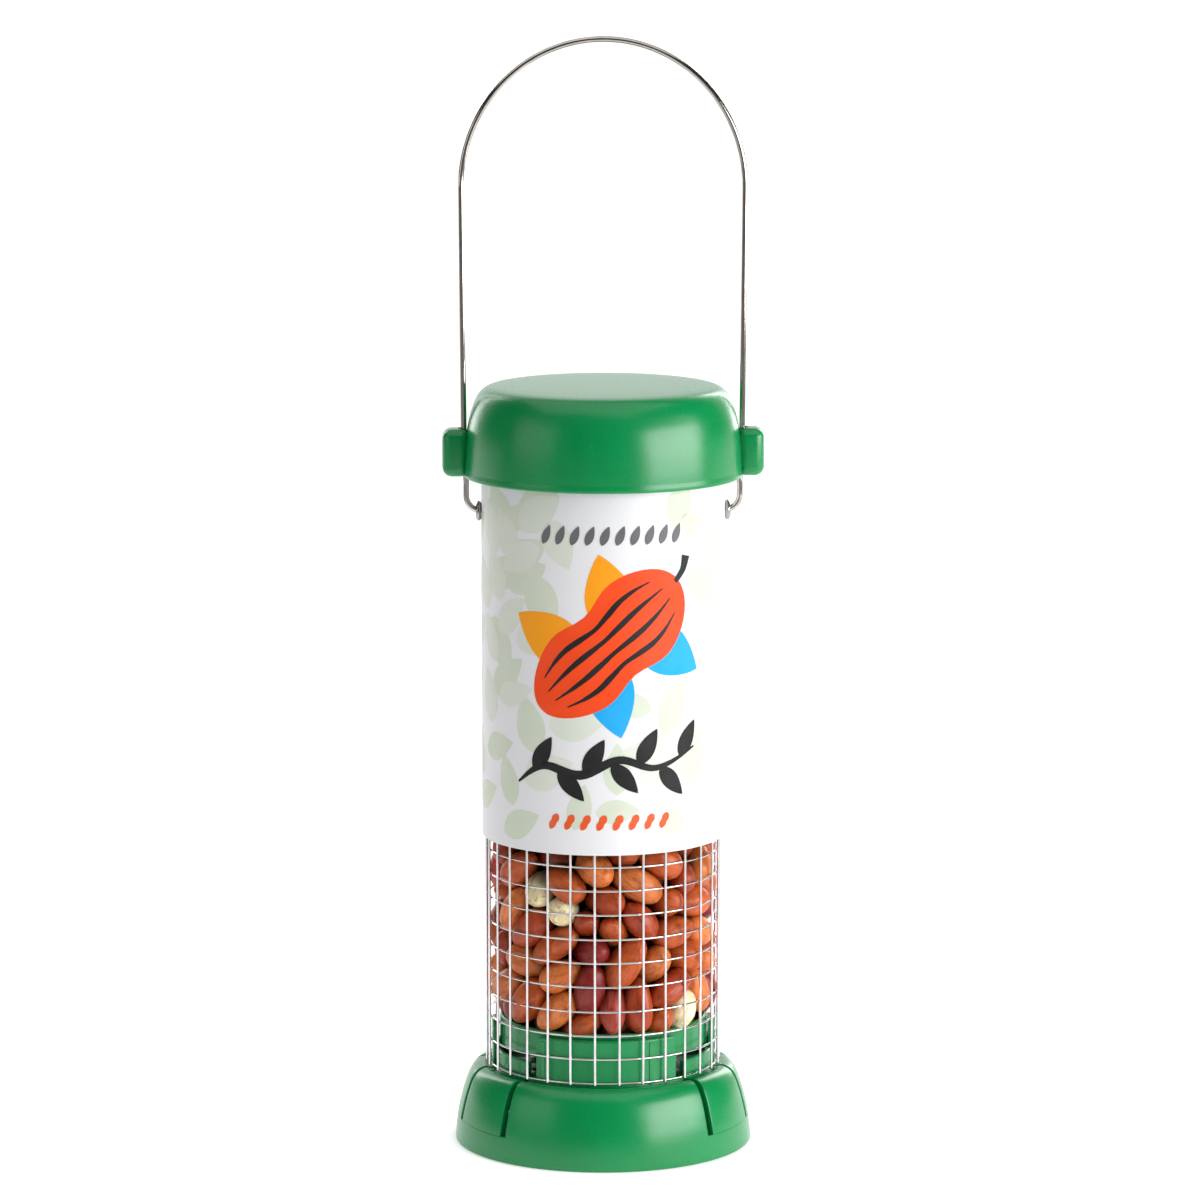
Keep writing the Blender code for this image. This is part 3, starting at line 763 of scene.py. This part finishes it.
def make_base(mat):
    """Skirt, ledge, floor and the upright collar panels that the mesh fits round."""
    rim = 0.5 * MM
    panel_inner = 27.9 * MM
    top = BASE_TOP
    panel = [
        (panel_inner, top - 0.3 * MM), (panel_inner + 0.3 * MM, top),
        (COLLAR_FACE - 0.7 * MM, top),
        *arc((COLLAR_FACE - 0.6 * MM, top - 0.6 * MM), 0.6 * MM, 80, 0, 5),
        (COLLAR_FACE, LEDGE - 0.3 * MM), (30.7 * MM, LEDGE - 0.3 * MM),
    ]
    foot = arc((38.95 * MM - rim, rim), rim, 0, -90, 5)
    outline = [(0.0, LEDGE), (panel_inner, LEDGE)] + panel + shoulder_line(1.4 * MM) + foot
    outline += inner_wall(0.0) + [(0.0, FLOOR_BOTTOM)]
    cut = [
        (26.6 * MM, SLIT_BOTTOM), (45 * MM, SLIT_BOTTOM), (45 * MM, 24 * MM),
        (29.9 * MM, 24 * MM), (29.9 * MM, 40 * MM), (26.6 * MM, 40 * MM),
    ]
    tools = []
    for start, end in tab_ranges().values():
        tools.append(("DIFFERENCE", swept("window", cut, start - SLIT, end + SLIT, 24)))
    front, side = (38.2, 44.5), (8.5, 11.5)
    for middle, span in ((0, front), (180, front), (90, side), (270, side)):
        for turn in (-1, 1):
            gap = [(middle + a, z) for a, z in panel_gap(*span, turn)]
            tools.append(("DIFFERENCE", radial_prism("gap", gap, 26.9 * MM, 30.2 * MM)))
    rib = [
        (COLLAR_FACE - 0.3 * MM, LEDGE - 0.1 * MM), (COLLAR_FACE + 0.22 * MM, LEDGE - 0.1 * MM),
        (COLLAR_FACE + 0.22 * MM, top - 1.2 * MM), (COLLAR_FACE - 0.3 * MM, top - 0.6 * MM),
    ]
    for middle in (0.0, 180.0):
        for angle in (-34.0, 23.0, 32.5):
            a, half = math.radians(middle + angle), math.radians(0.8)
            tools.append(("UNION", swept("rib", rib, a - half, a + half, 4)))
    for i in range(6):
        a = math.tau * (i + 0.5) / 6
        place = (19.5 * MM * math.cos(a), 19.5 * MM * math.sin(a), 20 * MM)
        tools.append(("DIFFERENCE", upright_rod("drain", 1.75 * MM, 6 * MM, place)))
    mesh = carve(swept("moulded_base", outline), tools, edge=0.22 * MM)
    add_piece("moulded_base", smooth(mesh, 30), mat, "base", "green_plastic", "base_skirt")


def make_tab(name, start, end, mat):
    """A tongue of the base: its outer wall, the wider inner wall and the barb on that."""
    root = SLIT_BOTTOM + 0.06 * MM
    inner, face, tip = 27.6 * MM, 28.9 * MM, 29.6 * MM
    top = TAB_HIGH.z
    outline = shoulder_line(root) + inner_wall(root + 0.18 * MM)
    outline += [
        (inner, FLOOR_BOTTOM), (inner, top - 0.2 * MM), (inner + 0.2 * MM, top),
        (face - 0.3 * MM, top), (face, top - 0.3 * MM), (face, 20.3 * MM), (30.7 * MM, 20.3 * MM),
    ]
    mesh = swept(f"tongue_{name}", outline, start + SLIT, end - SLIT, 32)
    wide = [
        (inner + 0.02 * MM, LEDGE + 0.3 * MM), (inner + 0.02 * MM, top - 0.25 * MM),
        (face - 0.32 * MM, top - 0.02 * MM), (face - 0.02 * MM, top - 0.32 * MM),
        (face - 0.02 * MM, LEDGE + 0.3 * MM),
    ]
    edge = math.radians(0.4)
    wings = swept("wings", wide, start - edge, end + edge, 32)
    middle = (start + end) / 2
    half = math.radians(2.6)
    barb = [
        (face - 0.3 * MM, 21.95 * MM), (tip, 22.1 * MM), (face, 24.9 * MM),
        (face - 0.3 * MM, 24.9 * MM),
    ]
    wedge = swept("barb", barb, middle - half, middle + half, 6)
    mesh = carve(mesh, [("UNION", wings), ("UNION", wedge)], edge=0.22 * MM)
    add_piece(
        f"tongue_{name}", smooth(mesh, 30), mat, f"tab_{name}", "green_plastic",
        f"release_tab_{name}",
    )


def make_tray(mat):
    """Shallow dish on a short tubular foot."""
    floor, rim = TRAY_LOW.z, TRAY_HIGH.z
    radius = TRAY_HIGH.x
    under = 26.2 * MM
    dish = 29.4 * MM
    bowl = [
        (12 * MM, dish + 0.6 * MM), (24.0 * MM, dish - 0.4 * MM), (25.4 * MM, dish + 0.4 * MM),
        (25.9 * MM, rim - 0.6 * MM),
    ]
    outline = [
        (0.0, dish + 1.0 * MM), *through(bowl, 4),
        *arc((radius - 0.65 * MM, rim - 0.6 * MM), 0.6 * MM, 170, 0, 8),
        (radius, under + 0.5 * MM),
        *arc((radius - 0.5 * MM, under + 0.5 * MM), 0.5 * MM, 0, -90, 4),
        (12.5 * MM, under + 0.6 * MM), (12.5 * MM, floor), (11.0 * MM, floor),
        (11.0 * MM, under + 1.0 * MM), (0.0, under + 1.5 * MM),
    ]
    mesh = swept("moulded_tray", outline)
    add_piece("moulded_tray", smooth(mesh, 30), mat, "base", "green_plastic", "seed_tray")


# ---- label and its artwork

def make_sleeve(mat):
    """The printed band, with softly rounded cut edges and its overlap down the back."""
    low, high = LABEL_LOW.z, LABEL_HIGH.z
    inner, outer = LABEL_RADIUS - 0.45 * MM, LABEL_RADIUS
    edge = 0.12 * MM
    outline = [
        (outer, high - edge), (outer, low + edge),
        *arc((outer - edge, low + edge), edge, 0, -90, 3),
        (inner, low), (inner, high), (outer - edge, high),
    ]
    mesh = swept("printed_sleeve", outline, steps=SLEEVE_STEPS)
    add_piece("printed_sleeve", smooth(mesh, 40), mat, "tube", "label_film", "label_sleeve")
    strip = [
        (outer + 0.02 * MM, low + 0.02 * MM), (outer + 0.16 * MM, low + 0.02 * MM),
        (outer + 0.16 * MM, high - 0.02 * MM), (outer + 0.02 * MM, high - 0.02 * MM),
    ]
    lap = swept("sleeve_overlap", strip, math.radians(172), math.radians(186), 14)
    add_piece("sleeve_overlap", smooth(lap, 40), mat, "tube", "label_film")


class Print:
    """Flat outlines wrapped onto the sleeve's facets, one colour to a piece."""

    def __init__(self, colors):
        self.layers = {color: bmesh.new() for color in colors}
        self.base = {color: 0.015 * MM * (i + 1) for i, color in enumerate(colors)}
        self.count = 0

    def shape(self, color, outline):
        """Outline is in metres: along the sleeve's girth from its front, and height."""
        bm = self.layers[color]
        self.count += 1
        lift = LABEL_RADIUS + self.base[color] + 0.00006 * MM * self.count
        part = bmesh.new()
        part.faces.new([part.verts.new((u, v, 0.0)) for u, v in outline])
        bmesh.ops.triangulate(part, faces=part.faces)
        cell = math.tau / SLEEVE_STEPS
        step = cell * LABEL_RADIUS
        first = math.ceil(min(u for u, _ in outline) / step)
        last = math.floor(max(u for u, _ in outline) / step)
        for i in range(first, last + 1):
            geometry = [*part.verts, *part.edges, *part.faces]
            bmesh.ops.bisect_plane(
                part, geom=geometry, plane_co=(i * step, 0, 0), plane_no=(1, 0, 0), dist=1e-9,
            )
        wrapped = {}
        for vert in part.verts:
            a = vert.co.x / LABEL_RADIUS
            middle = (math.floor(a / cell) + 0.5) * cell
            r = lift * math.cos(cell / 2) / math.cos(a - middle)
            wrapped[vert] = bm.verts.new((r * math.sin(a), -r * math.cos(a), vert.co.y))
        for face in part.faces:
            bm.faces.new([wrapped[v] for v in face.verts])
        part.free()

    def finish(self, materials):
        """Turn every face outwards, and make a piece of each colour."""
        for color, bm in self.layers.items():
            for face in bm.faces:
                face.normal_update()
                outward = face.calc_center_median()
                outward.z = 0.0
                if face.normal.dot(outward) < 0:
                    face.normal_flip()
            mesh = smooth(from_bmesh(f"print_{color}", bm), 60)
            add_piece(f"print_{color}", mesh, materials[color], "tube", "label_film")


def placed(points, u, v, angle):
    """Flat points turned by an angle and moved to (u, v)."""
    c, s = math.cos(angle), math.sin(angle)
    return [(u + x * c - y * s, v + x * s + y * c) for x, y in points]


def leaf(u, v, length, width, angle):
    """A pointed leaf from its stalk end at (u, v)."""
    count = 14
    ts = [i / count for i in range(count + 1)]
    side = [(t * length, 0.5 * width * math.sin(math.pi * t ** 0.8) ** 0.85) for t in ts]
    side[-1] = (length, 0.0)
    return placed(side + [(x, -y) for x, y in reversed(side[1:-1])], u, v, angle)


def pod_half_width(x, length, width):
    """Half the width of a peanut pod, x along it from its waist."""
    place = 2 * x / length
    waist = 1.0 - 0.26 * math.exp(-((x / (0.15 * length)) ** 2))
    return 0.5 * width * waist * (1.0 + 0.10 * place) * math.sqrt(max(1.0 - place * place, 0.0))


def pod(u, v, length, width, angle):
    """A peanut pod: two swellings with a waist between."""
    count = 56
    points = []
    for i in range(count):
        t = math.tau * i / count
        x = 0.5 * length * math.cos(t)
        points.append((x, math.copysign(pod_half_width(x, length, width), math.sin(t))))
    return placed(points, u, v, angle)


def stroke(line, widths):
    """A brush stroke: a smooth line with a width, in millimetres, that swells and tapers."""
    path = through(line, 8)
    swell = through([(w * MM, 0.0) for w in widths], 8)
    left, right = [], []
    for i, place in enumerate(path):
        before = Vector(path[max(i - 1, 0)])
        after = Vector(path[min(i + 1, len(path) - 1)])
        along = (after - before).normalized()
        normal = Vector((-along.y, along.x))
        index = round(i * (len(swell) - 1) / (len(path) - 1))
        half = max(swell[index][0], 0.02 * MM) / 2
        left.append(tuple(Vector(place) + normal * half))
        right.append(tuple(Vector(place) - normal * half))
    return left + right[::-1]


def make_leaves(art):
    """Pale leafy sprigs at the sleeve's edges in front, and all over its back.

    A sprig is its foot in millimetres, its angle, its number of leaves and their length.
    """
    draw = random.Random(7)
    low, high = LABEL_LOW.z, LABEL_HIGH.z
    girth = math.tau * LABEL_RADIUS
    sprigs = [
        (-29, 150, 75, 7, 15), (-13, 176, 250, 4, 14), (-36, 122, 80, 6, 15),
        (-31, 86, 62, 6, 15), (-14, 84, 40, 5, 13), (10, 84, 20, 4, 12),
        (31, 86, 120, 6, 14), (36, 140, 100, 5, 13), (22, 178, 300, 3, 12),
    ]
    for i in range(9):
        u = girth * (0.24 + 0.52 * i / 8) / MM
        sprigs.append((u, draw.uniform(86, 96), draw.uniform(60, 120), 7, 15))
        sprigs.append((u + 6, draw.uniform(135, 150), draw.uniform(60, 120), 6, 14))
    for u, v, angle, leaves, size in sprigs:
        angle = math.radians(angle)
        for i in range(leaves):
            along = i * size * 0.55
            side = 1 if i % 2 else -1
            turn = angle + side * (0.75 + draw.uniform(-0.15, 0.15))
            x = (u + along * math.cos(angle)) * MM
            y = (v + along * math.sin(angle)) * MM
            length = size * draw.uniform(0.85, 1.15) * MM
            outline = leaf(x, y, length, length * draw.uniform(0.52, 0.62), turn)
            if all(low + 0.3 * MM < q < high - 0.3 * MM for _, q in outline):
                art.shape("leaf_pale" if draw.random() < 0.6 else "leaf_soft", outline)


def make_emblem(art):
    """One tilted peanut pod with its ridges inked in, on two pairs of plain leaves."""
    middle = (0.6 * MM, 136.5 * MM)
    turn = math.radians(41)
    leaves = (
        ("orange", 3.0, 139, 104), ("orange", -6, 133, 150),
        ("blue", -1.8, 134, -76), ("blue", 7.2, 140, -30),
    )
    for color, x, z, angle in leaves:
        art.shape(color, leaf(x * MM, z * MM, 22 * MM, 13 * MM, math.radians(angle)))
    length, width = 50 * MM, 27 * MM
    art.shape("red", pod(*middle, length, width, turn))
    for across in (-0.58, -0.2, 0.2, 0.58):
        xs = [length * (i - 4) * (0.105 - 0.02 * abs(across)) for i in range(9)]
        ridge = [(x, across * pod_half_width(x, length, width)) for x in xs]
        line = placed(ridge, *middle, turn)
        art.shape("black", stroke(line, (0.3, 1.1, 1.5, 1.1, 1.5, 1.1, 0.3)))
    stalk = scaled([(18.5, 152.5), (21, 155.5), (22, 159)])
    art.shape("black", stroke(stalk, (1.4, 1.8, 2.6)))


def make_twig(art):
    """A bold brushed twig below the emblem, and a row of small marks over and under both."""
    twig = scaled([(-25, 100), (-17, 105), (-7, 103), (3, 107), (13, 104.5), (25, 109)])
    art.shape("black", stroke(twig, (0.6, 2.0, 2.4, 2.1, 1.6, 0.5)))
    leaves = [
        (-20, 103.5), (-13, 104), (-6, 103.3), (1, 106), (8, 105.6), (14, 104.6), (20, 106.8),
    ]
    for i, (x, z) in enumerate(leaves):
        angle = math.radians(60 if i % 2 == 0 else -48)
        art.shape("black", leaf(x * MM, z * MM, 10.5 * MM, 4.6 * MM, angle))
    for i in range(8):
        x = 0.6 + (i - 3.5) * 4.2
        art.shape("orange_red", pod(x * MM, 90.6 * MM, 4.4 * MM, 2.2 * MM, math.radians(62)))
    for i in range(10):
        x = 0.4 + (i - 4.5) * 3.9
        art.shape("grey", leaf(x * MM, 162.6 * MM, 5.4 * MM, 2.2 * MM, math.radians(68)))


def make_artwork(materials):
    """A generic print, one thin layer to a colour."""
    art = Print(list(materials))
    make_leaves(art)
    make_emblem(art)
    make_twig(art)
    art.finish(materials)


# ---- peanuts

KERNEL_TINTS = [                    # colour, and how often it comes
    ((0.52, 0.085, 0.014), 32), ((0.68, 0.165, 0.034), 18), ((0.36, 0.042, 0.007), 22),
    ((0.25, 0.014, 0.010), 9), ((0.48, 0.060, 0.036), 8), ((0.95, 0.78, 0.44), 10),
]


def pack_kernels(count, seed):
    """Settle capsules under gravity inside the mesh, and return their ends and radii.

    Each kernel is two end points joined by a stiff rod. Overlaps are pushed apart, and the
    heap is pulled down onto the tray, a few hundred times over.
    """
    rng = np.random.default_rng(seed)
    radius = rng.uniform(3.7, 4.5, count) * MM
    span = rng.uniform(4.0, 7.4, count) * MM
    wall = FILL_HIGH.x + 0.25 * MM
    levels = np.linspace(FILL_LOW.z + 4 * MM, FILL_HIGH.z + 60 * MM, count)
    angle = rng.uniform(0, math.tau, count)
    reach = np.sqrt(rng.uniform(0, 1, count)) * (wall - 8 * MM)
    centre = np.stack([reach * np.cos(angle), reach * np.sin(angle), levels], 1)
    direction = rng.normal(size=(count, 3)) * (1, 1, 0.35)
    direction /= np.linalg.norm(direction, axis=1)[:, None]
    a = centre - direction * span[:, None] / 2
    b = centre + direction * span[:, None] / 2
    owner = np.repeat(np.arange(count), 3)         # three balls to a kernel
    share = np.tile((0.0, 0.5, 1.0), count)
    size = radius[owner] * np.tile((0.86, 1.0, 0.86), count)
    different = owner[:, None] != owner[None, :]
    for step in range(360):
        pull = 0.35 * MM if step < 300 else 0.06 * MM
        a[:, 2] -= pull
        b[:, 2] -= pull
        for _ in range(3):
            balls = a[owner] * (1 - share)[:, None] + b[owner] * share[:, None]
            gap = balls[:, None, :] - balls[None, :, :]
            distance = np.linalg.norm(gap, axis=2) + 1e-9
            overlap = np.clip(size[:, None] + size[None, :] - distance, 0, None) * different
            push = (gap / distance[:, :, None] * (overlap * 0.42)[:, :, None]).sum(1)
            radial = np.linalg.norm(balls[:, :2], axis=1) + 1e-9
            beyond = np.clip(radial + size - wall, 0, None)
            push[:, :2] -= balls[:, :2] / radial[:, None] * beyond[:, None]
            bed = np.where(radial < 24.5 * MM, 30.2 * MM, TRAY_HIGH.z + 0.2 * MM)
            push[:, 2] += np.clip(bed + size - balls[:, 2], 0, None)
            for end, weight in ((a, 1 - share), (b, share)):
                moved = np.zeros_like(end)
                np.add.at(moved, owner, push * weight[:, None])
                end += np.clip(moved, -1.2 * MM, 1.2 * MM)
            rod_line = b - a
            length = np.linalg.norm(rod_line, axis=1)
            fix = (rod_line / length[:, None]) * ((length - span) / 2)[:, None]
            a += fix
            b -= fix
    return a, b, radius


def kernel_shape(rng):
    """One unit kernel along X: blunt at one end, drawn to a small point at the other."""
    bm = bmesh.new()
    bmesh.ops.create_icosphere(bm, subdivisions=4, radius=1.0)
    co = np.array([v.co[:] for v in bm.verts])
    faces = [[v.index for v in f.verts] for f in bm.faces]
    bm.free()
    x = co[:, 0]
    taper = rng.uniform(0.02, 0.16)
    bulge = rng.uniform(-0.15, 0.15)
    thick = 1.0 - taper * x + 0.06 * x ** 2 + bulge * (x ** 3 - x) * 0.5
    flat = rng.uniform(0.86, 0.98)
    y = co[:, 1] * thick
    z = co[:, 2] * thick * flat
    crease = -0.035 * np.exp(-(co[:, 2] / 0.16) ** 2) * (1 - x ** 2)
    y = y * (1 + crease)
    lumps = np.zeros(len(co))
    for _ in range(7):
        wave = rng.normal(size=3) * 2.3
        lumps += 0.011 * np.sin(co @ wave + rng.uniform(0, math.tau))
    for _ in range(4):
        around = rng.uniform(7, 16)
        phase = rng.uniform(0, math.tau)
        turn = np.arctan2(co[:, 2], co[:, 1])
        lumps += 0.005 * np.sin(around * turn + 2.0 * x + phase) * (1 - x ** 2)
    tip = 0.05 * np.clip(x - 0.90, 0, None) / 0.10
    out = np.stack([x + tip, y, z], 1) * (1 + lumps)[:, None]
    return out, faces


def kernel_frame(a, b, rng):
    """Unit axis of a kernel, either way round, and two directions across it."""
    axis = (b - a) / np.linalg.norm(b - a)
    if rng.random() < 0.5:
        axis = -axis
    side = np.cross(axis, rng.normal(size=3))
    side /= np.linalg.norm(side)
    return axis, side, np.cross(axis, side)


def shaded(tint, world, heap_top):
    """The tint at each point with painted shade: darker the deeper that point lies in the heap,
    inwards from the mesh and down from the heap's top.
    """
    inward = FILL_HIGH.x - np.hypot(world[:, 0], world[:, 1])
    # Painted shade: the colour is darkened by depth from the mesh and from the heap's top.
    shade = np.maximum(
        np.interp(inward, (1.0 * MM, 4.0 * MM, 8.0 * MM), (1.0, 0.50, 0.10)),
        np.interp(heap_top - world[:, 2], (5.0 * MM, 15.0 * MM), (1.0, 0.10)),
    )
    return np.column_stack([tint * shade[:, None], np.ones(len(world))])


def add_attribute(mesh, name, kind, field, rows):
    """Store one value for each point of a mesh."""
    layer = mesh.attributes.new(name, kind, "POINT")
    layer.data.foreach_set(field, np.concatenate(rows).astype(np.float32).ravel())


def make_peanuts(mat):
    """The fill, settled once, as one piece with a tint, darkened by painted shade deeper in the
    heap, and a grain direction for each kernel.
    """
    count = 214
    a, b, radius = pack_kernels(count, 12)
    heap_top = (np.maximum(a[:, 2], b[:, 2]) + radius).max()
    rng = np.random.default_rng(5)
    shapes = [kernel_shape(rng) for _ in range(12)]
    colors = np.array([c for c, _ in KERNEL_TINTS])
    odds = np.array([w for _, w in KERNEL_TINTS], float)
    verts, faces, tints_and_painted_shade, places = [], [], [], []
    offset = 0
    for i in range(count):
        shape, links = shapes[int(rng.integers(len(shapes)))]
        axis, side, third = kernel_frame(a[i], b[i], rng)
        half = np.linalg.norm(b[i] - a[i]) / 2 + radius[i] * 0.93
        local = shape * (half, radius[i] * 1.03, radius[i] * 1.03)
        centre = (a[i] + b[i]) / 2
        world = centre + local[:, :1] * axis + local[:, 1:2] * side + local[:, 2:3] * third
        verts.append(world)
        faces.extend([[k + offset for k in link] for link in links])
        offset += len(world)
        tint = colors[rng.choice(len(colors), p=odds / odds.sum())]
        tint = np.clip(tint * rng.uniform(0.86, 1.16), 0, 1)
        # Each kernel's tint with painted shade by its depth in the heap.
        tints_and_painted_shade.append(shaded(tint, world, heap_top))
        places.append(local / MM + rng.uniform(-90, 90, 3))
    mesh = bpy.data.meshes.new("peanut_kernels")
    mesh.from_pydata(np.concatenate(verts).tolist(), [], faces)
    add_attribute(mesh, "kernel_tint_and_painted_shade", "FLOAT_COLOR", "color", tints_and_painted_shade)
    add_attribute(mesh, "kernel_place", "FLOAT_VECTOR", "vector", places)
    mesh.shade_smooth()
    add_piece("peanut_kernels", mesh, mat, "base", "peanut", "peanuts")


# ---- put together

def finish_collar():
    """The collar keeps its CAD shape, and gets its plastic."""
    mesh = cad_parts["top_collar"].data
    mesh.materials.clear()
    mesh.materials.append(collar_plastic())
    smooth(mesh, 35)


def main():
    """Make the studio, and then every piece from the mesh outwards."""
    make_camera()
    make_studio()
    green = green_plastic()
    mesh_steel = steel("mesh_wire_bright", (0.76, 0.75, 0.76), 0.06, 0.14, (2.5, 2.5, 0.1))
    polished = steel("handle_wire_polished", (0.56, 0.52, 0.48), 0.05, 0.11, (5.0, 5.0, 0.08))
    nickel = steel("eyelet_nickel", (0.45, 0.44, 0.42), 0.08, 0.18, (3.0, 3.0, 3.0))
    inks = {
        "leaf_pale": ink("ink_leaf_pale", (0.66, 0.72, 0.58)),
        "leaf_soft": ink("ink_leaf_soft", (0.72, 0.76, 0.67)),
        "blue": ink("ink_blue", (0.003, 0.40, 0.86), 0.02),
        "orange": ink("ink_orange", (0.98, 0.36, 0.006), 0.01),
        "red": ink("ink_red", (0.93, 0.068, 0.006), 0.01),
        "orange_red": ink("ink_orange_red", (0.82, 0.10, 0.015), 0.03),
        "black": ink("ink_black", (0.012, 0.012, 0.012), 0.01),
        "grey": ink("ink_grey", (0.13, 0.13, 0.14), 0.03),
    }
    make_wire_mesh(mesh_steel)
    make_handle(polished)
    for side in (-1, 1):
        make_eyelet(side, nickel)
    make_lid(green)
    make_base(green)
    for name, (start, end) in tab_ranges().items():
        make_tab(name, start, end, green)
    make_tray(green)
    make_sleeve(label_film())
    make_artwork(inks)
    make_peanuts(peanut_skin())
    finish_collar()


main()
bpy.context.scene.view_settings.view_transform = "Standard"
